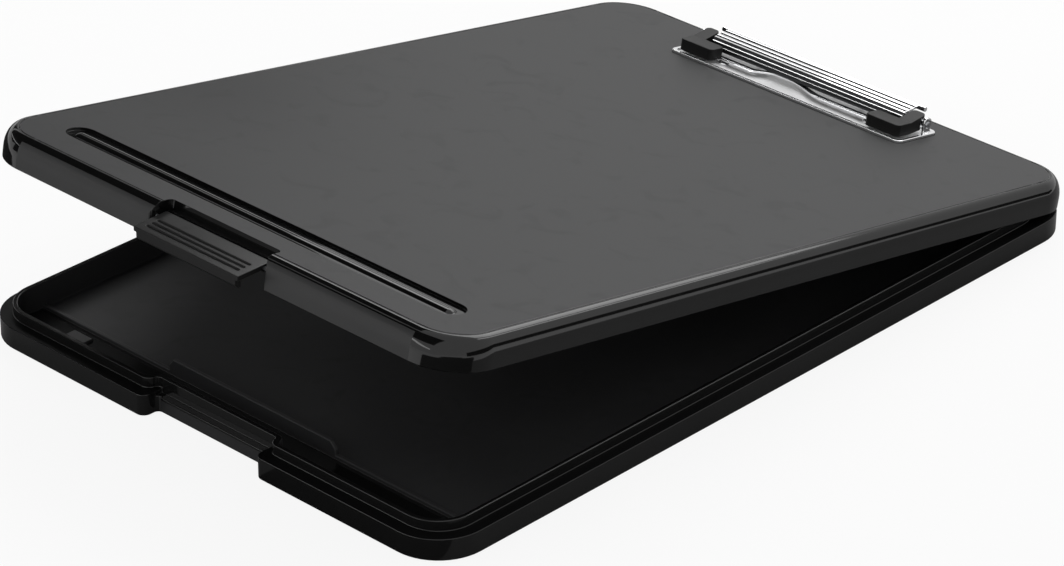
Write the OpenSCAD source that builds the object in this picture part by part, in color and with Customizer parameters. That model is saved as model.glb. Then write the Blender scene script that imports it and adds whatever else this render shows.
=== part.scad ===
// Storage clipboard box: a shallow document tray under a hinged writing lid,
// with a low-profile spring clip on the lid and a swing latch at its front.
//
// Frame: +Z is up, +Y runs to the hinge, -Y to the latch, +X to the right.
// The origin is on the table, at the middle of the tray's footprint.
// Everything on the lid is written with the lid shut and then swung open.

/* [Body] */
// Width of the tray and the lid, left to right
body_w = 241; // [200:1:300]
// Length of the tray and the lid, latch to hinge
body_l = 350; // [300:1:420]
// Radius of the four outer corners
corner_r = 20; // [14:1:30]
// Thickness of the tray's and the lid's outer walls
wall_t = 2; // [1.6:0.1:2.6]
// How far the lid is drawn open, in degrees
lid_open = 10.6; // [0:0.1:100]

/* [Tray] */
// Height of the tray's outer wall and ledge
tray_h = 8.6; // [8:0.1:16]
// Thickness of the tray's floor
floor_t = 2; // [1.4:0.1:3]
// Thickness of the ledge that the lid rests on
ledge_t = 2; // [1.4:0.1:2.6]
// Width of the ledge at the sides and the front
ledge_w = 5; // [4.4:0.1:9]
// Width of the ledge and the hinge gap at the rear
rear_ledge_w = 13; // [12.4:0.1:20]
// Thickness of the inner wall that keeps the papers in
rail_t = 1.8; // [1.2:0.1:3]
// How far the inner wall stands above the ledge
rail_rise = 4.2; // [1:0.1:5]

/* [Latch recess of the tray] */
// Width of the recess in the tray's front wall
recess_w = 58; // [40:1:90]
// Depth of that recess
recess_d = 7.2; // [6.6:0.1:10]
// Width of the ledge behind the recess
recess_ledge = 2.2; // [1.8:0.1:6]
// How far the ledge behind the recess is dropped
recess_drop = 2; // [1:0.1:3]
// Height of the nosing that the latch hooks under
nosing_h = 1.1; // [0.8:0.1:1.6]
// How far that nosing stands out
nosing_out = 0.8; // [0.5:0.1:1.2]

/* [Pen divider] */
// Distance from the inner front wall to the divider
pen_w = 18.7; // [13:0.1:30]
// Thickness of the divider
divider_t = 1.6; // [1.2:0.1:3]
// Height of the long low rib above the floor
rib_h = 1.6; // [1:0.1:4]
// Length of the raised middle part
divider_l = 87; // [40:1:120]
// Height of the raised middle part above the floor
divider_h = 6.6; // [3:0.1:8]

/* [Lid] */
// Height of the lid's walls, top face included
lid_h = 12.1; // [11:0.1:20]
// Thickness of the writing board
board_t = 2.2; // [1.6:0.1:3]
// Height of the straight skirt below the lid's rounded shoulder
skirt_h = 4.2; // [3.5:0.1:8]
// Width of the rounded shoulder round the writing board
shoulder_w = 4.8; // [3.5:0.1:6.5]
// Gap between the shut lid and the tray's ledge
lid_gap = 0.2; // [0.1:0.05:0.6]
// Height of the step under the lid's rear corners
relief_h = 1.4; // [1.2:0.1:2.4]
// Length of that step, from the rear edge forward
relief_l = 8.2; // [8.2:0.1:12]

/* [Groove in the lid] */
// Length of the groove across the lid
groove_l = 200; // [120:1:206]
// Width of the groove
groove_w = 12; // [9:0.1:14]
// Depth of the groove
groove_d = 1.2; // [0.8:0.1:1.4]
// Distance from the front edge to the middle of the groove
groove_y = 24.8; // [20:0.1:40]
// Radius of the round rib that lies in the groove
groove_rib_r = 3.4; // [2.6:0.1:4]

/* [Hinge] */
// Distance from the rear edge to the hinge line
hinge_inset = 5; // [5:0.1:7]
// Outer radius of the hinge knuckles
knuckle_r = 2.6; // [2.2:0.1:3]
// Diameter of the two steel hinge pins
hinge_pin_d = 2.5; // [1.6:0.1:3]
// Width of the lid's knuckle
lid_knuckle_w = 15; // [8:0.5:24]
// Width of each of the tray's knuckles
tray_knuckle_w = 8; // [5:0.5:12]
// Distance from the side of the box to the middle of a hinge
hinge_side = 42.5; // [36:0.5:70]

/* [Latch] */
// Width of the latch plate
latch_w = 53.4; // [30:0.2:80]
// Length from the pivot to the free edge
latch_reach = 12.6; // [11.6:0.1:12.8]
// Length of the plate behind the pivot
latch_tail = 3; // [1.6:0.1:3]
// Thickness of the latch plate
latch_t = 2; // [1.6:0.1:2.4]
// Depth of the hooked lip, from the plate's outer face
lip_d = 5.4; // [4.6:0.1:5.4]
// Thickness of the hooked lip
lip_t = 2.5; // [1.6:0.1:2.6]
// Height of the latch pivot above the lid's lower edge
latch_up = 6.6; // [6.4:0.1:8]
// Distance from the front edge to the latch pivot
latch_in = 3; // [3:0.1:3.6]
// Diameter of the latch pin
latch_pin_d = 1.4; // [1:0.1:1.6]
// Tilt of the swung-out latch below the lid's own plane
latch_tilt = 10.5; // [0:0.5:60]

/* [Clip] */
// Width of the clip's base plate
clip_w = 120; // [110:1:140]
// Depth of the base plate, front to rear
clip_l = 25; // [25:0.5:30]
// Distance from the lid's rear edge to the base plate
clip_rear = 15; // [12:0.5:22]
// Thickness of the clip's sheet steel
sheet_t = 0.9; // [0.7:0.1:1]
// Height of the rolled border round the base plate
border_h = 1.8; // [1.4:0.1:1.9]
// Depth of the seat that the base plate lies in
seat_d = 0.7; // [0.3:0.1:1]
// Diameter of the clip's hinge rod
rod_d = 2.4; // [1.8:0.1:2.6]
// Height of the rod above the base plate's underside
rod_up = 5.1; // [4.9:0.05:5.2]
// Height of the lever's rear ridge above the base plate's underside
ridge_up = 8.9; // [8.8:0.1:9.6]
// Length of the black corner guards along the jaw
guard_l = 17; // [12:0.5:24]
// Height of the black corner guards
guard_h = 4.8; // [4:0.1:5.2]

/* [Hidden] */
$fn = 64;

black_plastic = [0.10, 0.10, 0.11];
board_black = [0.26, 0.26, 0.27];
chrome = [0.82, 0.83, 0.85];
steel = [0.62, 0.64, 0.66];
guard_black = [0.07, 0.07, 0.08];

// A little more than nothing, to carry a cut through a face
past = 1;
// Running clearance round a pin, and the one round a fixed pin
run_fit = 0.06;
hold_fit = 0.02;
// Width of a knuckle's or an eye's neck, as a share of its barrel
neck = 0.85;

// Edges of the tray
front_y = -body_l/2;
rear_y = body_l/2;
rail_top = tray_h + rail_rise;
rail_front = front_y + ledge_w;
rail_rear = rear_y - rear_ledge_w;
recess_half = recess_w/2;
recess_y = front_y + recess_d;
recess_top = tray_h - recess_drop;
recess_r = 2;
mouth_r = 3.5;
// Pad under the end of the pen: its place from the inner wall, and its size
rest_side = 22.2;
rest_in = 8.2;
rest_l = 10;
rest_w = 7;
rest_h = 1;

// Hinge line, and the wall and sill of the tray behind the papers
hinge_x = body_w/2 - hinge_side;
hinge_y = rear_y - hinge_inset;
hinge_z = tray_h;
hinge_wall_y = hinge_y - knuckle_r - 0.6;
sill_y = rear_y - 2;
sill_half = body_w/2 - corner_r;
knuckle_gap = 0.4;
knuckle_top = lid_h - board_t;
pin_l = lid_knuckle_w + 2*knuckle_gap + 2*tray_knuckle_w;

// Lid heights and edges, written with the lid shut
lid_z = tray_h + lid_gap;
lid_top = lid_z + lid_h;
lid_recess_side = 0.7;
lid_recess_half = recess_half - lid_recess_side;
lid_recess_y = recess_y + 2;
// Clearance between the lid and the tray's inner wall
rail_gap = 0.4;
hollow_chamfer = 1.2;
// Fine line between the shoulder and the writing board
line_w = 0.5;
line_d = 0.3;
skirt_chamfer = 0.4;
shoulder_steps = 12;

// Latch pivot, and the plate's faces measured from it
latch_y = front_y + latch_in;
latch_z = lid_z + latch_up;
plate_up = 1.5;
barrel_r = 1.5;
shelf_gap = 0.35;
shelf_top = latch_z + plate_up + 0.7;
shelf_y = latch_y + norm([latch_tail, plate_up]) + shelf_gap;
groove_count = 3;
finger_w = 1.2;
finger_d = 0.6;
finger_step = 2.6;
// How far the hooked lip stops short of the plate's ends
lip_side = 1.2;
shelf_t = 1.6;
shelf_rib_r = 0.35;
shelf_rib_sunk = 0.1;

// Groove in the lid
groove_mid_y = front_y + groove_y;
// The rib's crown is a hair under the board, and its ends are round
groove_rib_sunk = 0.1;
groove_rib_half = groove_l/2 - groove_w/2;

// Clip
base_rear = rear_y - clip_rear;
base_front = base_rear - clip_l;
base_z = lid_top - seat_d;
base_r = 3;
border_w = 1.6;
seat_gap = 0.15;
rod_y = base_rear - 6;
rod_z = base_z + rod_up;
rivet_side = 22;
rivet_in = 8.6;
rivet_x = clip_w/2 - rivet_side;
rivet_y = base_front + rivet_in;
rivet_d = 3;
rivet_head_d = 5;
rivet_head_h = 0.8;
washer_d = 7;
washer_t = 0.6;
// Places along the rod, from the middle outwards
spring_x0 = 27;
lever_half = clip_w/2 - 10.2;
lever_eye_w = 6;
arm_x0 = clip_w/2 - 6;
arm_t = 1.2;
ear_x0 = clip_w/2 - 2.4;
ear_t = 1.2;
ear_up = 0.6;
rod_half = clip_w/2 - 0.8;
eye_r = 2.1;
ear_r = 2.4;
// Underside of the lever plate: front lip, fold and rear ridge, as [y, z]
lip_in = 12;
lip_up = 3.4;
fold_in = 9.6;
fold_rise = 7.2;
ridge_in = 1;
lip = [base_rear - lip_in, base_z + lip_up];
fold = [base_rear - fold_in, base_z + fold_rise];
ridge = [base_rear - ridge_in, base_z + ridge_up];
ridge_half = clip_w/2 - 7;
ridge_r = 1;
front_slope = atan2(fold[1] - lip[1], fold[0] - lip[0]);
top_slope = atan2(ridge[1] - fold[1], ridge[0] - fold[0]);
top_len = norm(ridge - fold);
lever_ribs = 3;
lever_rib_r = 0.6;
lever_rib_sunk = 0.15;
lever_rib_l = 2*lever_half - 0.4;
first_rib = 1.2;
slope_ribs = 2;
slope_rib_step = 1.7;
// Distance from the rod's centre up to the plate's underside
rod_under = (rod_y - fold[0])*sin(top_slope) - (rod_z - fold[1])*cos(top_slope);
// Spring coils, and the two arms that push the ridge and the base plate apart
wire_d = 1;
coil_r = rod_d/2 + 0.25 + wire_d/2;
wire_sides = 8;
coil_turns = 6;
coil_pitch = 0.9;
low_arm = 4.4;
high_arm = 4;
low_drop = rod_up - sheet_t - wire_d/2 - 0.05;
low_tilt = atan2(low_arm, coil_r) - acos(low_drop/norm([low_arm, coil_r]));
// Jaw strip, with its middle set back under the lever's front edge
jaw_y = base_front + 8.5;
jaw_w = 3;
jaw_t = 0.9;
jaw_z = base_z + 2.4;
jaw_back = 6.2;
jaw_left = [-24, -15];
jaw_right = [-8, 14];
jaw_steps = 8;
// Guards
guard_out = clip_w/2 - 2.8;
guard_w = 8.4;
guard_front = base_front + 2.2;
guard_side_w = 6.5;
guard_rear = rod_y + 0.6;
guard_r = 2;
guard_z = base_z + border_h + 0.3;
guard_rise = 2.2;
guard_gap = 0.05;

// ---- shared shapes -------------------------------------------------------

// A rectangle with round corners, round the origin
module rounded(w, l, r) {
    square([w - 2*r, l], center = true);
    square([w, l - 2*r], center = true);
    for (x = [-1, 1], y = [-1, 1])
        translate([x*(w/2 - r), y*(l/2 - r)])
            circle(r);
}

// A block with round corners r: its children are its section across the
// width w, the one across the length l, and the one across two corners
module swept_block(w, l, r) {
    rotate([90, 0, 0])
        linear_extrude(l - 2*r, center = true)
            children(0);
    rotate([90, 0, 90])
        linear_extrude(w - 2*r, center = true)
            children(1);
    for (x = [-1, 1], y = [-1, 1])
        translate([x*(w/2 - r), y*(l/2 - r), 0])
            rotate_extrude()
                intersection() {
                    children(2);
                    translate([0, -past])
                        square([r, lid_h + 2*past]);
                }
}

// A slot along X with round ends
module stadium(l, w) {
    square([l - w, w], center = true);
    for (x = [-1, 1])
        translate([x*(l - w)/2, 0])
            circle(w/2);
}

// A bar along X, centred on x, at y and z
module bar_x(x, y, z, r, w) {
    translate([x, y, z])
        rotate([0, 90, 0])
            cylinder(r = r, h = w, center = true);
}

// A box given by its lowest corner and its highest corner
module span(low, high) {
    translate(low)
        cube(high - low);
}

// Swing what is on the lid from shut to where the lid is drawn
module on_lid() {
    translate([0, hinge_y, hinge_z])
        rotate([-lid_open, 0, 0])
            translate([0, -hinge_y, -hinge_z])
                children();
}

// ---- tray ------------------------------------------------------------------

// Notch for the latch: half its width, where it starts and how far it goes in
module notch(half, from_y, to_y) {
    difference() {
        union() {
            translate([-half, from_y - past])
                square([2*half, to_y - from_y + past - recess_r]);
            translate([recess_r - half, from_y - past])
                square([2*(half - recess_r), to_y - from_y + past]);
            for (x = [-1, 1])
                translate([x*(half - recess_r), to_y - recess_r])
                    circle(recess_r);
            translate([-half - mouth_r, from_y - past])
                square([2*(half + mouth_r), past + mouth_r]);
        }
        for (x = [-1, 1])
            translate([x*(half + mouth_r), from_y + mouth_r])
                circle(mouth_r);
    }
}

// Plan of the tray's outer wall, taken in by i
module skirt_plan(i) {
    difference() {
        rounded(body_w - 2*i, body_l - 2*i, corner_r - i);
        notch(recess_half + i, front_y + i, recess_y + i);
    }
}

// Plan of the inner wall round the papers, taken in by i
module rail_plan(i) {
    half = recess_half + recess_ledge + i;
    difference() {
        translate([0, (rail_front + rail_rear)/2])
            rounded(body_w - 2*(ledge_w + i), rail_rear - rail_front - 2*i,
                    corner_r - ledge_w - i);
        notch(half, rail_front + i, recess_y + recess_ledge + i);
    }
}

// One of the tray's knuckles, at x
module tray_knuckle(x) {
    bar_x(x, hinge_y, hinge_z, knuckle_r, tray_knuckle_w);
    span([x - tray_knuckle_w/2, hinge_wall_y - past, hinge_z - neck*knuckle_r],
         [x + tray_knuckle_w/2, hinge_y, hinge_z]);
}

module tray_body() {
    difference() {
        union() {
            linear_extrude(tray_h)
                skirt_plan(0);
            linear_extrude(rail_top)
                rail_plan(0);
        }
        // the compartment
        translate([0, 0, floor_t])
            linear_extrude(rail_top)
                rail_plan(rail_t);
        // the hollow under the ledge, open below
        translate([0, 0, -past])
            linear_extrude(tray_h - ledge_t + past)
                difference() {
                    skirt_plan(wall_t);
                    rail_plan(0);
                }
        // the dropped ledge behind the latch recess
        span([-recess_half, recess_y - past, recess_top],
             [recess_half, recess_y + recess_ledge, tray_h + past/2]);
        // the gap for the lid's rear edge and the hinge
        span([-body_w, hinge_wall_y, -past], [body_w, rear_y + past, tray_h + past]);
    }
    // floor of the dropped ledge, lapped under the full ledge at its ends
    span([-recess_half - wall_t/2, recess_y + wall_t/2, recess_top - ledge_t],
         [recess_half + wall_t/2, recess_y + recess_ledge + rail_t/2, recess_top]);
    // nosing over the latch's hook
    span([-latch_w/2, recess_y - nosing_out, recess_top - nosing_h],
         [latch_w/2, recess_y + wall_t/2, recess_top]);
    // wall behind the rear ledge, which carries the knuckles
    span([-(body_w/2 - corner_r/2), hinge_wall_y - wall_t, 0],
         [body_w/2 - corner_r/2, hinge_wall_y, tray_h]);
    // sill that stops the lid when it is fully open
    span([-sill_half, rail_rear - rail_t/2, 0], [sill_half, sill_y, floor_t]);
}

// Low rib with a raised middle whose ends are cut off at an angle
module pen_divider() {
    y = rail_front + rail_t + pen_w;
    half = body_w/2 - ledge_w - rail_t/2;
    raised = divider_l/2;
    span([-half, y, floor_t/2], [half, y + divider_t, floor_t + rib_h]);
    translate([0, y + divider_t, floor_t/2])
        rotate([90, 0, 0])
            linear_extrude(divider_t)
                polygon([[-raised, 0], [raised, 0],
                         [raised, floor_t/2 + divider_h - 3],
                         [raised - 2.5, floor_t/2 + divider_h],
                         [2.5 - raised, floor_t/2 + divider_h],
                         [-raised, floor_t/2 + divider_h - 3]]);
}

// Low pad at the left of the pen channel, which lifts the pen's end
module pen_rest() {
    x = ledge_w + rail_t + rest_side - body_w/2;
    y = rail_front + rail_t + rest_in;
    span([x, y, floor_t/2], [x + rest_l, y + rest_w, floor_t + rest_h]);
}

module tray_shell() {
    color(black_plastic)
        difference() {
            union() {
                tray_body();
                pen_divider();
                pen_rest();
                for (x = [-1, 1], side = [-1, 1])
                    tray_knuckle(x*hinge_x + side*(lid_knuckle_w/2 + knuckle_gap
                                                   + tray_knuckle_w/2));
            }
            for (x = [-1, 1])
                bar_x(x*hinge_x, hinge_y, hinge_z, hinge_pin_d/2 + hold_fit,
                      pin_l + past);
        }
}

module hinge_pin(x) {
    color(steel)
        bar_x(x, hinge_y, hinge_z, hinge_pin_d/2, pin_l);
}

module hinge_pin_left() {
    hinge_pin(-hinge_x);
}

module hinge_pin_right() {
    hinge_pin(hinge_x);
}

// ---- lid -------------------------------------------------------------------

// Outline of the lid's skin, as [distance in from the wall, height]: a straight
// skirt, a shoulder along a quarter ellipse, and the line round the board
lid_skin = concat(
    [[skirt_chamfer, 0], [0, skirt_chamfer]],
    [for (i = [0:shoulder_steps])
        [shoulder_w*(1 - cos(90*i/shoulder_steps)),
         skirt_h + (lid_h - skirt_h)*sin(90*i/shoulder_steps)]],
    [[shoulder_w + line_w/2, lid_h - line_d], [shoulder_w + line_w, lid_h]]);

// Section of the lid across the width w
module lid_section(w) {
    polygon(concat([for (p = lid_skin) [w/2 - p[0], p[1]]],
                   [for (i = [len(lid_skin) - 1:-1:0])
                       [lid_skin[i][0] - w/2, lid_skin[i][1]]]));
}

module lid_outer() {
    translate([0, 0, lid_z])
        swept_block(body_w, body_l, corner_r) {
            lid_section(body_w);
            lid_section(body_l);
            lid_section(2*corner_r);
        }
}

// Section of the hollow under the board, with its two upper edges cut off
module hollow_section(w) {
    h = lid_h - board_t;
    polygon([[w/2, -past], [w/2, h - hollow_chamfer], [w/2 - hollow_chamfer, h],
             [hollow_chamfer - w/2, h], [-w/2, h - hollow_chamfer], [-w/2, -past]]);
}

module lid_hollow() {
    w = body_w - 2*wall_t;
    l = body_l - 2*wall_t;
    r = corner_r - wall_t;
    translate([0, 0, lid_z])
        swept_block(w, l, r) {
            hollow_section(w);
            hollow_section(l);
            hollow_section(2*r);
        }
}

// The lid's knuckle and the lug that hangs it from the board
module lid_knuckle(x) {
    bar_x(x, hinge_y, hinge_z, knuckle_r, lid_knuckle_w);
    span([x - lid_knuckle_w/2, hinge_y - neck*knuckle_r, hinge_z],
         [x + lid_knuckle_w/2, hinge_y + neck*knuckle_r, lid_top - board_t/2]);
}

// Cut over the full height of the lid, for the latch recess, grown by i
module lid_recess(i) {
    translate([0, 0, lid_z - past])
        linear_extrude(lid_h + 2*past)
            notch(lid_recess_half + i, front_y + i, lid_recess_y + i);
}

module lid_body() {
    difference() {
        lid_outer();
        lid_hollow();
        lid_recess(0);
    }
    // cheeks and back wall of the latch recess, clear of the tray's inner wall
    difference() {
        intersection() {
            lid_outer();
            lid_recess(wall_t);
        }
        lid_recess(0);
        span([-body_w, recess_y + recess_ledge - rail_gap, lid_z - past],
             [body_w, recess_y + recess_ledge + rail_t + past, rail_top + rail_gap]);
    }
    // shelf that fills the gap behind the latch
    span([-latch_w/2, shelf_y, shelf_top - shelf_t],
         [latch_w/2, lid_recess_y + wall_t/2, shelf_top]);
    for (i = [0:2])
        bar_x(0, shelf_y + 0.5 + 0.8*i, shelf_top - shelf_rib_sunk, shelf_rib_r,
              latch_w - 3);
    for (x = [-1, 1])
        lid_knuckle(x*hinge_x);
}

// The groove near the front edge, with a round rib left standing in it
module lid_groove() {
    difference() {
        translate([0, groove_mid_y, lid_top - groove_d])
            linear_extrude(groove_d + past)
                stadium(groove_l, groove_w);
        bar_x(0, groove_mid_y, lid_top - groove_rib_sunk - groove_rib_r,
              groove_rib_r, 2*groove_rib_half);
        for (x = [-1, 1])
            translate([x*groove_rib_half, groove_mid_y,
                       lid_top - groove_rib_sunk - groove_rib_r])
                sphere(groove_rib_r);
    }
}

module lid_shell() {
    color(board_black)
        on_lid()
            difference() {
                lid_body();
                lid_groove();
                // seat of the clip's base plate
                translate([0, (base_front + base_rear)/2, base_z])
                    linear_extrude(seat_d + past)
                        rounded(clip_w + 2*seat_gap, clip_l + 2*seat_gap,
                                base_r + seat_gap);
                // rivet holes
                for (x = [-1, 1])
                    translate([x*rivet_x, rivet_y, lid_top - board_t - past])
                        cylinder(d = rivet_d + 2*hold_fit, h = board_t + 2*past);
                // step under the rear corners
                span([-body_w, rear_y - relief_l, lid_z - past],
                     [-hinge_x - pin_l/2, rear_y + past, lid_z + relief_h]);
                span([hinge_x + pin_l/2, rear_y - relief_l, lid_z - past],
                     [body_w, rear_y + past, lid_z + relief_h]);
                span([-body_w, rear_y - wall_t - past, lid_z - past],
                     [body_w, rear_y + past, lid_z + relief_h]);
                // bores of the two hinge pins and of the latch pin
                for (x = [-1, 1])
                    bar_x(x*hinge_x, hinge_y, hinge_z, hinge_pin_d/2 + run_fit,
                          lid_knuckle_w + past);
                bar_x(0, latch_y, latch_z, latch_pin_d/2 + hold_fit,
                      2*(lid_recess_half + wall_t) + past);
            }
}

// ---- latch -----------------------------------------------------------------

// The latch stands out from its pivot, with its plate along -Y
module latch_shape() {
    difference() {
        union() {
            span([-latch_w/2, -latch_reach, plate_up - latch_t],
                 [latch_w/2, latch_tail, plate_up]);
            bar_x(0, 0, 0, barrel_r, latch_w);
            // hooked lip along the free edge
            rotate([90, 0, 90])
                linear_extrude(latch_w - 2*lip_side, center = true)
                    polygon([[-latch_reach, plate_up],
                             [-latch_reach, plate_up - lip_d + 1.4],
                             [lip_t/2 - latch_reach, plate_up - lip_d],
                             [lip_t - latch_reach, plate_up - lip_d],
                             [lip_t - latch_reach, plate_up]]);
        }
        bar_x(0, 0, 0, latch_pin_d/2 + run_fit, latch_w + past);
        // finger grooves across the plate
        for (i = [0:groove_count - 1])
            translate([0, finger_step*(i + 0.4) + lip_t - latch_reach,
                       plate_up - finger_d])
                linear_extrude(finger_d + past)
                    stadium(latch_w - 6, finger_w);
    }
}

module latch() {
    color(black_plastic)
        on_lid()
            translate([0, latch_y, latch_z])
                rotate([latch_tilt, 0, 0])
                    latch_shape();
}

module latch_pin() {
    color(steel)
        on_lid()
            bar_x(0, latch_y, latch_z, latch_pin_d/2, 2*(lid_recess_half + wall_t));
}

// ---- clip ------------------------------------------------------------------

// Upright ear that carries the rod, at x
module clip_ear(x) {
    bar_x(x, rod_y, rod_z + ear_up, ear_r, ear_t);
    span([x - ear_t/2, rod_y - neck*ear_r, base_z],
         [x + ear_t/2, rod_y + neck*ear_r, rod_z + ear_up]);
}

module clip_base() {
    mid_y = (base_front + base_rear)/2;
    color(chrome)
        on_lid()
            difference() {
                union() {
                    translate([0, mid_y, base_z])
                        linear_extrude(sheet_t)
                            rounded(clip_w, clip_l, base_r);
                    // rolled border
                    translate([0, mid_y, base_z])
                        linear_extrude(border_h)
                            difference() {
                                rounded(clip_w, clip_l, base_r);
                                rounded(clip_w - 2*border_w, clip_l - 2*border_w,
                                        base_r - border_w/2);
                            }
                    for (x = [-1, 1])
                        clip_ear(x*(ear_x0 + ear_t/2));
                }
                for (x = [-1, 1]) {
                    bar_x(x*(ear_x0 + ear_t/2), rod_y, rod_z, rod_d/2 + hold_fit,
                          ear_t + past);
                    translate([x*rivet_x, rivet_y, base_z - past])
                        cylinder(d = rivet_d + 2*hold_fit, h = sheet_t + 2*past);
                }
            }
}

// Two rivets, closed over the washers under the board
module clip_rivets() {
    under = lid_top - board_t - washer_t;
    color(chrome)
        on_lid()
            for (x = [-1, 1])
                translate([x*rivet_x, rivet_y, 0]) {
                    translate([0, 0, under - rivet_head_h])
                        cylinder(d = rivet_head_d, h = rivet_head_h);
                    translate([0, 0, under - rivet_head_h/2])
                        cylinder(d = rivet_d, h = base_z + sheet_t - under
                                                  + rivet_head_h);
                    translate([0, 0, base_z + sheet_t])
                        cylinder(d = rivet_head_d, h = rivet_head_h);
                }
}

module rivet_washers() {
    color(steel)
        on_lid()
            for (x = [-1, 1])
                translate([x*rivet_x, rivet_y, lid_top - board_t - washer_t])
                    difference() {
                        cylinder(d = washer_d, h = washer_t);
                        translate([0, 0, -past])
                            cylinder(d = rivet_d + 2*hold_fit, h = washer_t + 2*past);
                    }
}

module clip_rod() {
    color(steel)
        on_lid()
            bar_x(0, rod_y, rod_z, rod_d/2, 2*rod_half);
}

// Arm of a spring: it leaves the coil rearwards, tipped up by tilt
module spring_arm(x, tilt, side, len) {
    translate([x, 0, 0])
        rotate([tilt, 0, 0])
            translate([0, 0, side*coil_r])
                rotate([-90, 0, 0])
                    cylinder(d = 0.9*wire_d, h = len);
}

// Torsion spring: a close coil round the rod, one arm down on the base plate
// and one arm up under the lever
module torsion_spring(x) {
    end_x = (coil_turns - 1)*coil_pitch/2;
    color(steel)
        on_lid()
            translate([x, rod_y, rod_z]) {
                for (i = [0:coil_turns - 1])
                    translate([i*coil_pitch - end_x, 0, 0])
                        rotate([0, 90, 0])
                            rotate_extrude()
                                translate([coil_r, 0])
                                    circle(d = wire_d/cos(180/wire_sides),
                                           $fn = wire_sides);
                spring_arm(-end_x, -low_tilt, -1, low_arm);
                spring_arm(end_x, top_slope + 2, 1, high_arm);
            }
}

module spring_left() {
    torsion_spring(-spring_x0);
}

module spring_right() {
    torsion_spring(spring_x0);
}

// ---- clip lever, jaw and guards ---------------------------------------------

// Eye round the rod, at x
module rod_eye(x, w) {
    bar_x(x, rod_y, rod_z, eye_r, w);
}

module rod_bore(half) {
    bar_x(0, rod_y, rod_z, rod_d/2 + run_fit, 2*half);
}

// Section of the lever plate from front to rear, of one sheet folded once
module lever_section() {
    front_up = sheet_t*[-sin(front_slope), cos(front_slope)];
    top_up = sheet_t*[-sin(top_slope), cos(top_slope)];
    fold_up = (front_up + top_up)/(1 + cos(front_slope - top_slope));
    polygon([lip, fold, ridge, ridge + top_up, fold + fold_up, lip + front_up]);
}

// Rib along the sheet's upper face, at the distance y up its slope
module lever_rib(y) {
    bar_x(0, y, sheet_t - lever_rib_sunk, lever_rib_r, lever_rib_l);
}

// Ribbed plate that covers the rod and the springs
module clip_lever() {
    eye_x = lever_half - lever_eye_w/2;
    color(chrome)
        on_lid()
            difference() {
                union() {
                    rotate([90, 0, 90])
                        linear_extrude(2*lever_half, center = true)
                            lever_section();
                    translate([0, fold[0], fold[1]])
                        rotate([top_slope, 0, 0])
                            for (i = [0:lever_ribs - 1])
                                lever_rib(first_rib + i*(top_len - 1)/lever_ribs);
                    translate([0, lip[0], lip[1]])
                        rotate([front_slope, 0, 0])
                            for (i = [0:slope_ribs - 1])
                                lever_rib(first_rib + i*slope_rib_step);
                    bar_x(0, ridge[0], ridge[1], ridge_r, 2*ridge_half);
                    for (x = [-1, 1]) {
                        rod_eye(x*eye_x, lever_eye_w);
                        translate([x*eye_x, rod_y, rod_z])
                            rotate([top_slope, 0, 0])
                                span([-lever_eye_w/2, -neck*eye_r, 0],
                                     [lever_eye_w/2, neck*eye_r,
                                      rod_under + sheet_t/2]);
                    }
                }
                rod_bore(lever_half + past);
            }
}

// Points of one bend of the jaw strip, from x[0] in front to x[1] set back
function jaw_bend(x) = [
    for (i = [0:jaw_steps])
        [x[0] + (x[1] - x[0])*i/jaw_steps,
         jaw_y + jaw_back*(1 - cos(180*i/jaw_steps))/2]];

// Plan of the front strip, laid along its centre line
module jaw_front_plan() {
    end_x = arm_x0 + arm_t;
    left = jaw_bend(jaw_left);
    right = jaw_bend([jaw_right[1], jaw_right[0]]);
    line = concat([[-end_x, jaw_y]], left,
                  [for (i = [jaw_steps:-1:0]) right[i]], [[end_x, jaw_y]]);
    polygon(concat([for (p = line) p - [0, jaw_w/2]],
                   [for (i = [len(line) - 1:-1:0]) line[i] + [0, jaw_w/2]]));
}

module clip_jaw() {
    color(chrome)
        on_lid()
            difference() {
                union() {
                    translate([0, 0, jaw_z])
                        linear_extrude(jaw_t)
                            jaw_front_plan();
                    for (x = [-1, 1]) {
                        span([x*(arm_x0 + arm_t/2) - arm_t/2, jaw_y - jaw_w/2, jaw_z],
                             [x*(arm_x0 + arm_t/2) + arm_t/2, rod_y, rod_z + 0.4]);
                        rod_eye(x*(arm_x0 + arm_t/2), arm_t);
                    }
                }
                rod_bore(rod_half + past);
            }
}

// Plan of a corner guard: a leg along the jaw and one along the arm
module guard_plan() {
    translate([guard_out - guard_l/2, guard_front + guard_w/2])
        rounded(guard_l, guard_w, guard_r);
    translate([guard_out - guard_side_w/2, (guard_front + guard_rear)/2])
        rounded(guard_side_w, guard_rear - guard_front, guard_r);
}

// Section of a guard from front to rear: its side leg rises with the lever
module guard_section() {
    polygon([[guard_front, guard_z],
             [guard_front + guard_w, guard_z],
             [guard_rear, guard_z + guard_rise/2],
             [guard_rear, guard_z + guard_h + guard_rise],
             [guard_front + guard_w, guard_z + guard_h],
             [guard_front, guard_z + guard_h]]);
}

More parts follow.
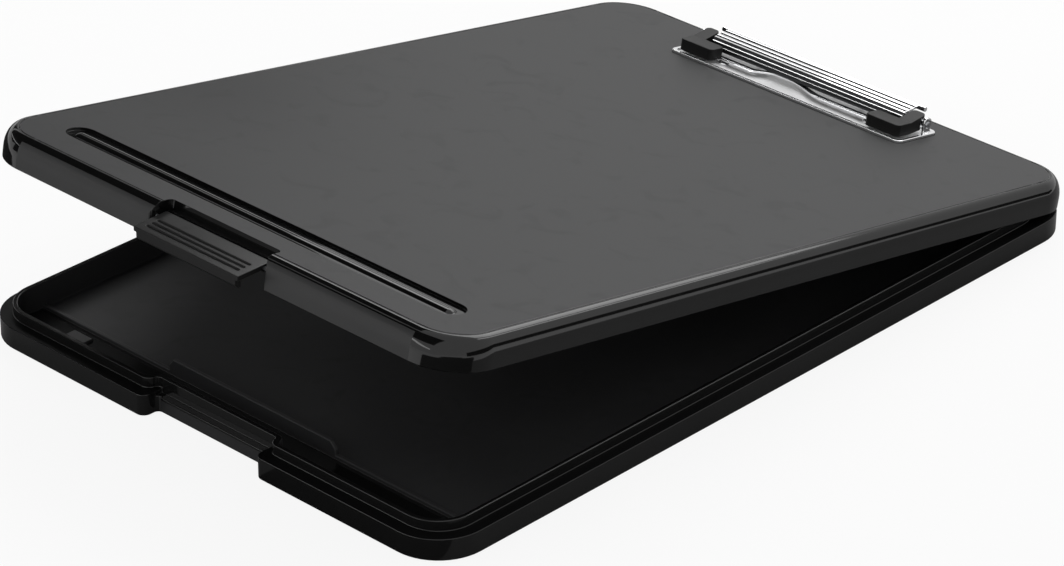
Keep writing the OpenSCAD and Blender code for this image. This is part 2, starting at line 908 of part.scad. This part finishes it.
// Black corner guard pushed down over the jaw's corner
module guard(side) {
    color(guard_black)
        on_lid()
            scale([side, 1, 1])
                difference() {
                    intersection() {
                        translate([0, 0, guard_z - past])
                            linear_extrude(guard_h + guard_rise + 2*past)
                                guard_plan();
                        rotate([90, 0, 90])
                            linear_extrude(guard_out + past)
                                guard_section();
                    }
                    span([0, jaw_y - jaw_w/2 - guard_gap, guard_z - past],
                         [arm_x0 + arm_t + guard_gap, jaw_y + jaw_w/2 + guard_gap,
                          jaw_z + jaw_t + guard_gap]);
                    span([arm_x0 - guard_gap, jaw_y - jaw_w/2 - guard_gap,
                          guard_z - past],
                         [arm_x0 + arm_t + guard_gap, rod_y,
                          rod_z + 0.4 + guard_gap]);
                    // the leg's end is only a flap over the rod
                    span([0, rod_y - ear_r, guard_z - past],
                         [clip_w, guard_rear + past, rod_z + ear_r]);
                }
}

module guard_left() {
    guard(-1);
}

module guard_right() {
    guard(1);
}

tray_shell();
hinge_pin_left();
hinge_pin_right();
lid_shell();
latch();
latch_pin();
clip_base();
clip_rivets();
rivet_washers();
clip_rod();
spring_left();
spring_right();
clip_lever();
clip_jaw();
guard_left();
guard_right();
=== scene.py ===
# %% [markdown]
# # A storage clipboard in black plastic and chrome
# The real object is a shallow tray under a hinged writing lid, with a sprung chrome clip on the
# lid and a ribbed latch at the front. Its solids come with the frame, each one a node that
# rides on a moving body. The pieces could be modelled afresh, but they are made from these
# solids instead, so that every hinge and gap stays where it is. Lengths are in metres, unless
# a name ends in mm.

import math

import bmesh
import bpy
from mathutils import Matrix, Vector


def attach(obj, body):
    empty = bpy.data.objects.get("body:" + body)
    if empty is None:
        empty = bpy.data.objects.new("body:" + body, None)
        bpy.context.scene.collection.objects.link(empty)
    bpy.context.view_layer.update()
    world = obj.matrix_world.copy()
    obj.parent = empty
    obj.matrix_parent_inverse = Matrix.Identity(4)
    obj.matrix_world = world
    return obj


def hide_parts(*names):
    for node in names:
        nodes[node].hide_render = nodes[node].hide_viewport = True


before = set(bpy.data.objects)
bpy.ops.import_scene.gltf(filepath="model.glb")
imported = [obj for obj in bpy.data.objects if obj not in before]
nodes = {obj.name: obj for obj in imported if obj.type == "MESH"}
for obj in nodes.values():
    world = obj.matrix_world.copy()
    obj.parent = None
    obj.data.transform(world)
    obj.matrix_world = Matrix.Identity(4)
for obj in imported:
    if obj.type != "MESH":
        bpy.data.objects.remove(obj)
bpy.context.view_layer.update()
MM = 0.001

# %% [markdown]
# ## The camera
# A flat box is best seen from above one corner, where its top, front and side all show. A
# short lens from close by would swell the near corner, so a long lens from further off is
# used, which keeps the long sides nearly parallel. The eye is placed by its direction and its
# distance from a point near the middle of the tray, because each can be changed by itself.

# %% Camera
LENS_MM, SENSOR_MM = 148.75, 36
SHIFT_ACROSS, SHIFT_UP = -0.0196, -0.00075
FURTHEST_SEEN = 20
EYE_TURN, EYE_RISE, EYE_ROLL = math.radians(43.50), math.radians(28.72), 0.0047
EYE_DISTANCE = 1.66322
LOOK_AT = Vector((0.00652, 0.00004, 0))

camera_data = bpy.data.cameras.new("camera")
camera_data.lens = LENS_MM
camera_data.sensor_width = SENSOR_MM
camera_data.shift_x, camera_data.shift_y = SHIFT_ACROSS, SHIFT_UP
camera_data.clip_end = FURTHEST_SEEN
camera = bpy.data.objects.new("camera", camera_data)
bpy.context.collection.objects.link(camera)
eye_back = Vector((math.sin(EYE_TURN) * math.cos(EYE_RISE),
                   -math.cos(EYE_TURN) * math.cos(EYE_RISE),
                   math.sin(EYE_RISE)))
turn = Matrix.Rotation(EYE_TURN, 4, "Z") @ Matrix.Rotation(math.pi / 2 - EYE_RISE, 4, "X")
camera.matrix_world = (Matrix.Translation(LOOK_AT + eye_back * EYE_DISTANCE)
                       @ turn @ Matrix.Rotation(EYE_ROLL, 4, "Z"))
bpy.context.scene.camera = camera
print("camera at", tuple(round(v, 3) for v in camera.matrix_world.translation))

# %% [markdown]
# ## Small tools for node materials
# Every finish is a node tree, and it could be drawn by hand in the Shader Editor. In code it
# is a list of nodes and links, so that it can be read and made again. These helpers add a node,
# set its inputs and join two sockets, and keep each finish further down short.

# %% Node helpers
def add_node(tree, kind, place=(0, 0), **values):
    node = tree.nodes.new(kind)
    node.location = place
    for name, value in values.items():
        setattr(node, name, value)
    return node


def set_inputs(node, values):
    for name, value in values.items():
        node.inputs[name].default_value = value


def join(tree, source, target):
    tree.links.new(source, target)


def calculate(tree, operation, first, second, place=(0, 0)):
    node = add_node(tree, "ShaderNodeMath", place, operation=operation)
    join(tree, first, node.inputs[0])
    join(tree, second, node.inputs[1])
    return node.outputs[0]


def new_material(name):
    material = bpy.data.materials.new(name)
    material.use_nodes = True
    tree = material.node_tree
    shader = tree.nodes["Principled BSDF"]
    shader.location = (600, 0)
    tree.nodes["Material Output"].location = (900, 0)
    return material, tree, shader


print("helpers: add_node, set_inputs, join, calculate, new_material")

# %% [markdown]
# ## Grain and handling marks
# Moulded plastic is never one flat tone. The tool leaves a fine grain, the melt cools with slow
# drifts in gloss, and use adds faint rubs. Each finish could have its own noises, but one group
# makes all of it, and each finish asks it for its own sizes and strengths. The noises lie in
# the object's own space, so they turn with the lid and don't need an unwrapped mesh.

# %% Group: moulded grain
MARK_DEFAULTS = {"Grain Size": 2500.0, "Drift Size": 14.0, "Grain Depth": 0.3, "Rubs": 0.2}
FINE_NOISE = {"Detail": 3}
SLOW_NOISE = {"Detail": 4}
RUB_NOISE = {"Scale": 60, "Detail": 8, "Distortion": 1.2}
RUB_SPOTS = {"From Min": 0.56, "From Max": 0.72}


def add_noise(tree, place, values):
    noise = add_node(tree, "ShaderNodeTexNoise", place)
    set_inputs(noise, values)
    return noise


def grain_group():
    group = bpy.data.node_groups.new("moulded_grain", "ShaderNodeTree")
    face = group.interface
    for name, default in MARK_DEFAULTS.items():
        socket = face.new_socket(name, in_out="INPUT", socket_type="NodeSocketFloat")
        socket.default_value = default
    for name in ("Height", "Drift", "Rub Mask"):
        face.new_socket(name, in_out="OUTPUT", socket_type="NodeSocketFloat")
    ins = add_node(group, "NodeGroupInput", (-900, 0))
    outs = add_node(group, "NodeGroupOutput", (600, 0))
    place = add_node(group, "ShaderNodeTexCoord", (-900, 300))
    fine = add_noise(group, (-500, 300), FINE_NOISE)
    slow = add_noise(group, (-500, 0), SLOW_NOISE)
    rub = add_noise(group, (-500, -300), RUB_NOISE)
    for noise in (fine, slow, rub):
        join(group, place.outputs["Object"], noise.inputs["Vector"])
    join(group, ins.outputs["Grain Size"], fine.inputs["Scale"])
    join(group, ins.outputs["Drift Size"], slow.inputs["Scale"])
    depth = calculate(group, "MULTIPLY", fine.outputs["Fac"], ins.outputs["Grain Depth"],
                      (-200, 300))
    spots = add_node(group, "ShaderNodeMapRange", (-200, -300))
    set_inputs(spots, RUB_SPOTS)
    join(group, rub.outputs["Fac"], spots.inputs["Value"])
    rubbed = calculate(group, "MULTIPLY", spots.outputs["Result"], ins.outputs["Rubs"],
                       (100, -300))
    join(group, depth, outs.inputs["Height"])
    join(group, slow.outputs["Fac"], outs.inputs["Drift"])
    join(group, rubbed, outs.inputs["Rub Mask"])
    return group


GRAIN = grain_group()
print("group", GRAIN.name, "with", len(GRAIN.nodes), "nodes")

# %% [markdown]
# ## What all finishes share
# Plastic and metal alike carry marks: the fine noise lifts the normal a little, and the slow
# drift makes some places glossier than others. This could be written out in each finish. One
# helper does it instead, and leaves colour and roughness to the finish that calls it.

# %% A material with marks
def marked_material(name, marks, rough, bump):
    material, tree, shader = new_material(name)
    grain = add_node(tree, "ShaderNodeGroup", (-600, 0), node_tree=GRAIN)
    set_inputs(grain, marks)
    gloss = add_node(tree, "ShaderNodeMapRange", (-300, -100))
    set_inputs(gloss, {"To Min": rough[0], "To Max": rough[1]})
    join(tree, grain.outputs["Drift"], gloss.inputs["Value"])
    lift = add_node(tree, "ShaderNodeBump", (0, -350))
    set_inputs(lift, bump)
    join(tree, grain.outputs["Height"], lift.inputs["Height"])
    join(tree, lift.outputs["Normal"], shader.inputs["Normal"])
    return material, tree, shader, grain, gloss.outputs["Result"]


print("marks come from", GRAIN.name)

# %% [markdown]
# ## Plastic finishes
# The writing board is matte charcoal, and the mouldings are the same plastic, polished black
# in most places and satin in some. A flat colour for each would look like paint. Here the slow
# drift also tints the colour between a dark and a light tone, and the rubs make small places
# duller. Shine is how much the bare surface reflects, and the duller finishes have less of it.

# %% Plastics
PLASTIC_BUMP = {"Strength": 0.25, "Distance": 0.1 * MM}
DRIFT_LOW, DRIFT_HIGH = 0.3, 0.7


def plastic(name, dark, light, rough, grain, grain_size, rubs, shine=0.5):
    material, tree, shader, marks, gloss = marked_material(
        name, {"Grain Size": grain_size, "Grain Depth": grain, "Rubs": rubs}, rough,
        PLASTIC_BUMP)
    tint = add_node(tree, "ShaderNodeValToRGB", (-300, 200))
    stops = tint.color_ramp.elements
    for stop, position, tone in zip(stops, (DRIFT_LOW, DRIFT_HIGH), (dark, light)):
        stop.position = position
        stop.color = (*tone, 1)
    join(tree, marks.outputs["Drift"], tint.inputs["Fac"])
    join(tree, tint.outputs["Color"], shader.inputs["Base Color"])
    duller = calculate(tree, "ADD", gloss, marks.outputs["Rub Mask"], (0, -100))
    join(tree, duller, shader.inputs["Roughness"])
    shader.inputs["Specular IOR Level"].default_value = shine
    print("plastic", name)
    return material


board_matte = plastic("board_matte", dark=(0.042, 0.042, 0.043), light=(0.051, 0.051, 0.052),
                      rough=(0.52, 0.62), grain=0.5, grain_size=3500, rubs=0.05, shine=0.25)
wall_gloss = plastic("wall_gloss", dark=(0.003, 0.003, 0.003), light=(0.006, 0.006, 0.006),
                     rough=(0.04, 0.09), grain=0.02, grain_size=1800, rubs=0.03)
tray_gloss = plastic("tray_gloss", dark=(0.005, 0.005, 0.005), light=(0.008, 0.008, 0.008),
                     rough=(0.08, 0.15), grain=0.03, grain_size=1500, rubs=0.06)
# grained, and lighter than the outside: painted light for the inside that the lid shades
tray_inside_painted_light = plastic("tray_inside_painted_light", dark=(0.024, 0.024, 0.025), light=(0.034, 0.034, 0.035),
                      rough=(0.38, 0.50), grain=0.35, grain_size=2600, rubs=0.10, shine=0.4)
latch_satin = plastic("latch_satin", dark=(0.007, 0.007, 0.007), light=(0.011, 0.011, 0.011),
                      rough=(0.26, 0.34), grain=0.15, grain_size=3000, rubs=0.1, shine=0.3)
# partly a satin finish, partly a painted reflection: far lighter than the polished walls
front_satin_painted_reflection = plastic("front_satin_painted_reflection", dark=(0.024, 0.0242, 0.0246),
                      light=(0.030, 0.0302, 0.0306), rough=(0.40, 0.50), grain=0.3,
                      grain_size=3000, rubs=0.05, shine=0.4)
# painted shade: a darker, low-shine tone on the ledge of the same polished plastic
ledge_painted_shade = plastic("ledge_painted_shade", dark=(0.002, 0.002, 0.0021), light=(0.003, 0.003, 0.0031),
                     rough=(0.40, 0.50), grain=0.3, grain_size=3000, rubs=0.05, shine=0.1)
guard_satin = plastic("guard_satin", dark=(0.005, 0.005, 0.005), light=(0.009, 0.009, 0.009),
                      rough=(0.36, 0.46), grain=0.3, grain_size=3000, rubs=0.12, shine=0.2)

# %% [markdown]
# ## Metal finishes
# The clip is bright plated sheet, and its pins and springs are plain drawn steel. A perfect
# mirror looks false, so a very faint waviness in the normal keeps the reflections alive, as on
# pressed sheet. In a pale room plating mirrors little but white, while a real clip shows thin
# dark lines along its ribs and under its lever. More dark cards in the room could give them,
# but would darken the rest of the clip too, so two more materials help. One is painted shade:
# a dark, dull chrome on narrow faces that look away from the light, in place of the dark they
# would mirror. The other is a satin one for the base plate, only partly metallic, so that its
# paleness comes from the light and not from the room.

# %% Metals
METAL_BUMP = {"Strength": 0.3, "Distance": 0.2 * MM}
WAVE_SIZE, METAL_DRIFT_SIZE = 90, 45


def metal(name, colour, rough, wave, metallic=1.0):
    material, tree, shader, _, gloss = marked_material(
        name, {"Grain Size": WAVE_SIZE, "Drift Size": METAL_DRIFT_SIZE, "Grain Depth": wave},
        rough, METAL_BUMP)
    join(tree, gloss, shader.inputs["Roughness"])
    set_inputs(shader, {"Base Color": (*colour, 1), "Metallic": metallic})
    print("metal", name)
    return material


chrome_plate = metal("chrome_plate", (0.94, 0.945, 0.955), rough=(0.02, 0.05), wave=0.06)
# painted shade: a dark, dull chrome for faces that look down or away, in place of mirrored dark
painted_shade_chrome = metal("painted_shade_chrome", (0.05, 0.051, 0.053), rough=(0.25, 0.35), wave=0.10)
chrome_satin = metal("chrome_satin", (0.80, 0.805, 0.81), rough=(0.30, 0.40), wave=0.05,
                     metallic=0.2)
pin_steel = metal("pin_steel", (0.55, 0.56, 0.58), rough=(0.22, 0.34), wave=0.6)

# %% [markdown]
# ## From triangles to whole faces
# A solid arrives as a net of thin triangles, and edges can be rounded well only where whole
# faces meet. Limited Dissolve merges every flat patch into one face. A rim that runs all round
# the tray would then become a ring, with a hole that a face can't have, and Blender would fill
# the hole in. Leaving the triangles alone avoids that but spoils the rounds. So the mesh is
# first cut through at a few places, and the cuts are marked as seams, which the merge keeps:
# the large rings fall into plain pieces, and the cuts themselves lie flat and don't show. A few
# small faces still fill in wrongly.

# %% Cut and merge
ACROSS, ALONG = 0, 1
CUT_SHARES = {ACROSS: (0.13, 0.5, 0.87), ALONG: (0.5,)}
SAME_PLACE = 0.002 * MM
SAME_PLANE = math.radians(0.4)


def cut_through(form, axis, share):
    places = [vert.co[axis] for vert in form.verts]
    low, high = min(places), max(places)
    place, facing = [0, 0, 0], [0, 0, 0]
    place[axis] = low + share * (high - low)
    facing[axis] = 1
    whole = form.verts[:] + form.edges[:] + form.faces[:]
    cut = bmesh.ops.bisect_plane(form, geom=whole, dist=SAME_PLACE, plane_co=place,
                                 plane_no=facing)
    for part in cut["geom_cut"]:
        if isinstance(part, bmesh.types.BMEdge):
            part.seam = True


def join_flats(mesh, sharp_angle):
    form = bmesh.new()
    form.from_mesh(mesh)
    bmesh.ops.remove_doubles(form, verts=form.verts, dist=SAME_PLACE)
    for axis, shares in CUT_SHARES.items():
        for share in shares:
            cut_through(form, axis, share)
    bmesh.ops.dissolve_limit(form, angle_limit=SAME_PLANE, verts=form.verts,
                             edges=form.edges, delimit={"SEAM"})
    for edge in form.edges:
        edge.smooth = len(edge.link_faces) == 2 and edge.calc_face_angle(0) < sharp_angle
    for face in form.faces:
        face.smooth = True
    form.to_mesh(mesh)
    form.free()


print("cuts across and along:", list(CUT_SHARES.values()))

# %% [markdown]
# ## From a solid to a moulding
# No real edge is as sharp as a solid's: a moulding tool leaves a small round on each, and it is
# this round that catches the light. The rounds could be drawn into the solids, which would make
# them heavy. Here the Bevel modifier rounds the corners of a copy, and Weighted Normal keeps
# the flats flat while the curves between them shade smoothly. The result is kept as a plain
# mesh that stands for its node and rides on the same body. The rounds don't give way to their
# neighbours, so each piece has one that suits its narrow places.

# %% Round and level
ROUND_FROM = math.radians(50)
FLATS_FIRST = 80


def round_edges(piece, round_mm, segments):
    soften = piece.modifiers.new("soften", "BEVEL")
    soften.width = round_mm * MM
    soften.segments = segments
    soften.limit_method = "ANGLE"
    soften.angle_limit = ROUND_FROM
    soften.use_clamp_overlap = False
    soften.harden_normals = False


def level_flats(piece):
    level = piece.modifiers.new("level", "WEIGHTED_NORMAL")
    level.keep_sharp = True
    level.weight = FLATS_FIRST


def keep_result(piece):
    graph = bpy.context.evaluated_depsgraph_get()
    made = bpy.data.meshes.new_from_object(piece.evaluated_get(graph))
    made.name = piece.name
    piece.modifiers.clear()
    piece.data = made


print("corners are rounded from", round(math.degrees(ROUND_FROM)), "degrees")

# %% Dress a solid
def dress(node_name, piece_name, body, finishes, round_mm, sharp_angle=31,
          finish_of=None, segments=2):
    mesh = nodes[node_name].data.copy()
    mesh.name = piece_name
    join_flats(mesh, math.radians(sharp_angle))
    piece = bpy.data.objects.new(piece_name, mesh)
    bpy.context.collection.objects.link(piece)
    mesh.materials.clear()
    for finish in finishes:
        mesh.materials.append(finish)
    if finish_of:
        for face in mesh.polygons:
            face.material_index = finishes.index(finish_of(face))
    if round_mm:
        round_edges(piece, round_mm, segments)
    level_flats(piece)
    keep_result(piece)
    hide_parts(node_name)
    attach(piece, body)
    print(piece_name, "faces", len(piece.data.polygons))


# %% [markdown]
# ## Telling a face by its place
# One moulding can carry several finishes. It could be split into a mesh for each, but its parts
# would then need edges of their own where the real one has none. A face can be told instead by
# where it lies and which way it looks. The lid stands open, so a face on it is first turned
# back to the shut lid, where up and forward are plain directions.

# %% Places on the shut lid
HINGE = Vector((0, 0.17, 0.0086))
LID_OPEN = math.radians(10.6)
LOOKS_UP = 0.98
SAME_LEVEL = 0.05 * MM
turn_shut = Matrix.Rotation(LID_OPEN, 4, "X")
lid_to_shut = Matrix.Translation(HINGE) @ turn_shut @ Matrix.Translation(-HINGE)


def on_shut_lid(face):
    return lid_to_shut @ face.center, turn_shut.to_3x3() @ face.normal


def is_flat_at(level, middle, facing):
    return facing.z > LOOKS_UP and abs(middle.z - level) < SAME_LEVEL


print("the lid stands open by", round(math.degrees(LID_OPEN), 1), "degrees")

# %% [markdown]
# ## The lid
# The writing board is matte, and the shoulder, the other walls and the pen groove are polished.
# The straight of the front wall is satin, partly a real finish and partly a painted reflection:
# its colour is several times lighter than the polished walls, in place of the pale floor that
# this wall mirrors. The board is every face that looks up at the top level. Its pen groove and
# the ribs of the latch recess are narrow, which is why the round is only an eighth of a
# millimetre.

# %% Lid
LID_TOP = 20.9 * MM
LOOKS_FORWARD = -0.8
FRONT_WALL = -170 * MM
FRONT_STRAIGHT = 100.6 * MM


def lid_finish(face):
    middle, facing = on_shut_lid(face)
    if is_flat_at(LID_TOP, middle, facing):
        return board_matte
    on_front = facing.y < LOOKS_FORWARD and middle.y < FRONT_WALL
    # the front wall's straight: satin with a painted reflection, lighter than the polished
    # walls
    return front_satin_painted_reflection if on_front and abs(middle.x) < FRONT_STRAIGHT else wall_gloss


dress("lid_shell", "lid_moulding", "lid",
      [board_matte, wall_gloss, front_satin_painted_reflection], round_mm=0.12, finish_of=lid_finish)

# %% [markdown]
# ## The tray
# The tray is polished outside and grained inside its rail. Its inside also has a lighter
# colour, painted light where the lid shades it. The ledge round it is painted shade: the
# same plastic, given a darker tone and little shine so that it stays black. The inside could be
# told by the middle of a face, as on the lid, but a long face beside the rail can have its
# middle within it. So a face counts as inside only if all its corners are. The walls of the
# tray are plain, so its round is the largest.

# %% Tray
RAIL_INSIDE = Vector((0.1138, 0.1682))
REAR_INSIDE = 0.1602
FLOOR_TOP, INSIDE_TOP = 1.9 * MM, 9 * MM
LEDGE_LEVEL = 8.6 * MM


def tray_finish(face):
    corners = [face.id_data.vertices[index].co for index in face.vertices]
    within = all(abs(spot.x) < RAIL_INSIDE.x and -RAIL_INSIDE.y < spot.y < REAR_INSIDE
                 for spot in corners)
    # inside the rail: painted light, a lighter tone where the lid shades it
    if within and FLOOR_TOP < face.center.z < INSIDE_TOP:
        return tray_inside_painted_light
    # the ledge's top: painted shade, a darker, low-shine tone
    return ledge_painted_shade if is_flat_at(LEDGE_LEVEL, face.center, face.normal) else tray_gloss


dress("tray_shell", "tray_moulding", "tray",
      [tray_gloss, tray_inside_painted_light, ledge_painted_shade], round_mm=0.3, finish_of=tray_finish)

# %% [markdown]
# ## The latch
# A small ribbed plate that a finger pulls, so its face is worn to a satin. The ribs are solid
# in the mesh and could have been a bump in the material, but then they would have no outline.

# %% Latch
dress("latch", "latch_plate", "latch", [latch_satin], round_mm=0.25)

# %% [markdown]
# ## The clip
# The clip is pressed sheet: a base plate, a ribbed lever and a jaw. Pressed sheet has rounded
# edges that draw thin lines of light and dark around each part. The base plate's flat is satin.
# The lever and the jaw are bright, apart from the faces that look down, those of the lever that
# look forward and those of the jaw that look back. These carry painted shade, a dark chrome,
# because in a pale room mirroring alone would leave the ribs without their lines.

# %% Clip plates
SEAT_LEVEL, PLATE_THICKNESS = 20.2 * MM, 0.9 * MM
LOOKS_DOWN = -0.2
LEVER_FORWARD, JAW_BACKWARD = -0.75, 0.5


def plate_finish(face):
    flat = is_flat_at(SEAT_LEVEL + PLATE_THICKNESS, *on_shut_lid(face))
    return chrome_satin if flat else chrome_plate


def lever_finish(face):
    _, facing = on_shut_lid(face)
    # faces that look down or forward get painted shade
    away = facing.z < LOOKS_DOWN or facing.y < LEVER_FORWARD
    return painted_shade_chrome if away else chrome_plate


def jaw_finish(face):
    _, facing = on_shut_lid(face)
    # faces that look down or back get painted shade
    away = facing.z < LOOKS_DOWN or facing.y > JAW_BACKWARD
    return painted_shade_chrome if away else chrome_plate


dress("clip_base", "clip_plate", "lid",
      [chrome_plate, chrome_satin], round_mm=0.25, finish_of=plate_finish)
dress("clip_lever", "clip_lever_plate", "clip",
      [chrome_plate, painted_shade_chrome], round_mm=0.08, finish_of=lever_finish)
dress("clip_jaw", "clip_jaw_strip", "clip",
      [chrome_plate, painted_shade_chrome], round_mm=0.12, finish_of=jaw_finish)
dress("clip_rivets", "clip_rivet_heads", "lid", [chrome_plate], round_mm=0.25)

# %% [markdown]
# ## Guards and springs
# Black plastic guards cap the jaw's ends, with soft corners of three steps where the metal has
# two. The springs are coils of round wire. A bevel would only crease the wire, so they have
# none, and a wide smoothing angle makes its few sides look round.

# %% Guards and springs
for side in ("left", "right"):
    dress("guard_" + side, "corner_guard_" + side, "clip",
          [guard_satin], round_mm=0.25, segments=3)
    dress("spring_" + side, "spring_coil_" + side, "lid",
          [pin_steel], round_mm=0, sharp_angle=60)

# %% [markdown]
# ## Pins, rod and washers
# These are turned or stamped from steel. They hardly show, and the plain solids would nearly
# do, but a sharp rim catches no light at all, so each gets a small round as well.

# %% Pins, rod and washers
for name in ("hinge_pin_left", "hinge_pin_right"):
    dress(name, name + "_turned", "tray", [pin_steel], round_mm=0.12)
for name in ("latch_pin", "clip_rod", "rivet_washers"):
    dress(name, name + "_turned", "lid", [pin_steel], round_mm=0.1)

# %% [markdown]
# ## Sheets for the studio
# The floor and the cards round the object are plain sheets, which aren't part of it. They could
# be added with an operator, but a list of corners says at once how large a sheet is and where
# it lies.

# %% Stage sheets
def rectangle(left, right, near, far):
    return [(left, near), (right, near), (right, far), (left, far)]


def stage_sheet(name, outline, height, material):
    mesh = bpy.data.meshes.new(name)
    mesh.from_pydata([(x, y, height) for x, y in outline], [], [range(len(outline))])
    mesh.materials.append(material)
    sheet = bpy.data.objects.new(name, mesh)
    bpy.context.collection.objects.link(sheet)
    print("sheet", name)
    return sheet


def plain_paper(name, tone):
    material, tree, shader = new_material(name)
    set_inputs(shader, {"Base Color": (tone, tone, tone, 1), "Roughness": 0.9})
    return material, tree, shader


# %% [markdown]
# ## The floor
# The object stands on a wide pale floor. More light would turn the floor white, and bleach the
# object with it. So the light stays, and the floor glows instead, but only for rays that come
# straight from the eye or by way of gloss or glass. The glow is held a little short of full,
# so that the lit paper under it still shows the object's shadow.

# %% Floor
FLOOR_HALF, FLOOR_DROP = 6.0, 0.2 * MM
FLOOR_TONE, GLOW_SHARE = 0.9, 0.88


def is_looked_at(tree, left, top):
    seen = add_node(tree, "ShaderNodeLightPath", (left, top))
    eye_or_gloss = calculate(tree, "MAXIMUM", seen.outputs["Is Camera Ray"],
                             seen.outputs["Is Glossy Ray"], (left + 200, top))
    return calculate(tree, "MAXIMUM", eye_or_gloss, seen.outputs["Is Transmission Ray"],
                     (left + 400, top))


floor_paper, tree, shader = plain_paper("floor_paper", FLOOR_TONE)
glow = add_node(tree, "ShaderNodeEmission", (300, 300))
share = add_node(tree, "ShaderNodeMath", (500, 500), operation="MULTIPLY")
share.inputs[1].default_value = GLOW_SHARE
join(tree, is_looked_at(tree, 0, 500), share.inputs[0])
blend = add_node(tree, "ShaderNodeMixShader", (750, 150))
join(tree, share.outputs[0], blend.inputs["Fac"])
join(tree, shader.outputs["BSDF"], blend.inputs[1])
join(tree, glow.outputs["Emission"], blend.inputs[2])
join(tree, blend.outputs["Shader"], tree.nodes["Material Output"].inputs["Surface"])
floor_outline = rectangle(-FLOOR_HALF, FLOOR_HALF, -FLOOR_HALF, FLOOR_HALF)
floor = stage_sheet("floor", floor_outline, 0, floor_paper)
floor.location.z = -FLOOR_DROP

# %% [markdown]
# ## The air
# The world gives even light from all sides. One strength could serve for all of it, but what
# lights the object well is too dim to be seen in chrome. So the world is brighter for the same
# rays as the floor.

# %% World
AIR_STRENGTH, SEEN_STRENGTH = 0.55, 1.0
SEEN_COLOUR = (0.8, 0.8, 0.8, 1)

world = bpy.data.worlds.new("studio")
world.use_nodes = True
bpy.context.scene.world = world
tree = world.node_tree
air = tree.nodes["Background"]
set_inputs(air, {"Color": (1, 1, 1, 1), "Strength": AIR_STRENGTH})
pale = add_node(tree, "ShaderNodeBackground", (0, 300))
set_inputs(pale, {"Color": SEEN_COLOUR, "Strength": SEEN_STRENGTH})
mix = add_node(tree, "ShaderNodeMixShader", (300, 100))
join(tree, is_looked_at(tree, -400, 500), mix.inputs["Fac"])
join(tree, air.outputs["Background"], mix.inputs[1])
join(tree, pale.outputs["Background"], mix.inputs[2])
join(tree, mix.outputs["Shader"], tree.nodes["World Output"].inputs["Surface"])
print("world", world.name, "at", AIR_STRENGTH)

# %% [markdown]
# ## Lamps
# A sun would cast one hard shadow, and black plastic would show nothing of it but a spark. Soft
# lamps have a size, and a glossy face shows that size as a broad pale sheen. A large one is
# behind the box and high up, a narrow bar stands to the right of it, and a weak low strip in
# front lights the front walls.

# %% Lamps
def aim_at(thing, place, target):
    thing.location = place
    line = Vector(target) - Vector(place)
    thing.rotation_euler = line.to_track_quat("-Z", "Y").to_euler()


def soft_lamp(name, place, target, size, watts):
    data = bpy.data.lights.new(name, "AREA")
    data.shape = "RECTANGLE"
    data.size, data.size_y = size
    data.energy = watts
    lamp = bpy.data.objects.new(name, data)
    bpy.context.collection.objects.link(lamp)
    aim_at(lamp, place, target)
    print("lamp", name, watts, "W")


soft_lamp("overhead", (-0.6, 1.45, 1.3), (-0.6, 1.45, 0), size=(2.0, 1.5), watts=24)
soft_lamp("bar_right", (0.68, 1.45, 1.3), (0.68, 1.45, 0), size=(0.2, 1.5), watts=3)
soft_lamp("strip_front", (-0.25, -0.405, 0.205), (-0.1, -0.2, 0.07), size=(1.0, 0.035),
          watts=0.3)

# %% [markdown]
# ## Cards for the gloss
# Polished black shows little of its own: what is seen on it is the room, mirrored. A studio
# hangs black cards where that mirror should stay dark. Dimming the lamps would darken the board
# as well, so cards are used here too. They exist for glossy rays only: the eye doesn't see them
# and they cast no shadow. Two hang over the box, three stand or hang round the room, and three
# lie just above the floor, one of them grey, where the walls mirror it.

# %% Cards
UNDER_GREY, UNDER_BLACK = -0.1 * MM, -0.05 * MM

card_black = plain_paper("card_black", tone=0.004)[0]
card_grey = plain_paper("card_grey", tone=0.25)[0]


def only_in_gloss(card):
    card.visible_camera = False
    card.visible_diffuse = False
    card.visible_shadow = False
    card.visible_transmission = False


def upright_card(name, place, target, width, height):
    outline = rectangle(-width / 2, width / 2, -height / 2, height / 2)
    card = stage_sheet(name, outline, 0, card_black)
    aim_at(card, place, target)
    only_in_gloss(card)


def flat_card(name, paper, outline, height):
    only_in_gloss(stage_sheet(name, outline, height, paper))


upright_card("horizon_right", (1.5, 1.5, 0.17), (0, 1.5, 0.17), width=4.0, height=0.34)
flat_card("flag_over_front", card_black,
          [(-0.8, -0.38), (0.15, -0.38), (0.15, -0.215), (-0.08, -0.2), (-0.09, -0.117),
           (-0.12, -0.03), (-0.8, -0.03)], height=0.2)
flat_card("flag_over_board", card_black,
          [(-0.8, 0.03), (-0.16, 0.03), (-0.34, 0.285), (-0.8, 0.6)], height=0.2)
flat_card("card_high_left", card_black, rectangle(-1.4, -0.6, -0.4, 0.64), height=1.25)
upright_card("card_low_left", (-1.5, -1.35, 0.65), (0, -1.35, 0.65), width=0.8, height=1.1)
flat_card("floor_grey", card_grey, rectangle(-0.35, 0.35, -0.33, 0.40), UNDER_GREY)
flat_card("floor_near", card_black, rectangle(0.03, 0.70, -0.75, -0.17), UNDER_BLACK)
flat_card("floor_left", card_black, rectangle(-0.90, -0.20, -0.32, 0.30), UNDER_BLACK)

# %% [markdown]
# ## View settings
# A filmic view would grey the floor and flatten the blacks. The standard view shows each
# colour about as it is written, which is what a plain packshot needs.

# %% View settings
bpy.context.scene.view_settings.view_transform = "Standard"
print("view", bpy.context.scene.view_settings.view_transform)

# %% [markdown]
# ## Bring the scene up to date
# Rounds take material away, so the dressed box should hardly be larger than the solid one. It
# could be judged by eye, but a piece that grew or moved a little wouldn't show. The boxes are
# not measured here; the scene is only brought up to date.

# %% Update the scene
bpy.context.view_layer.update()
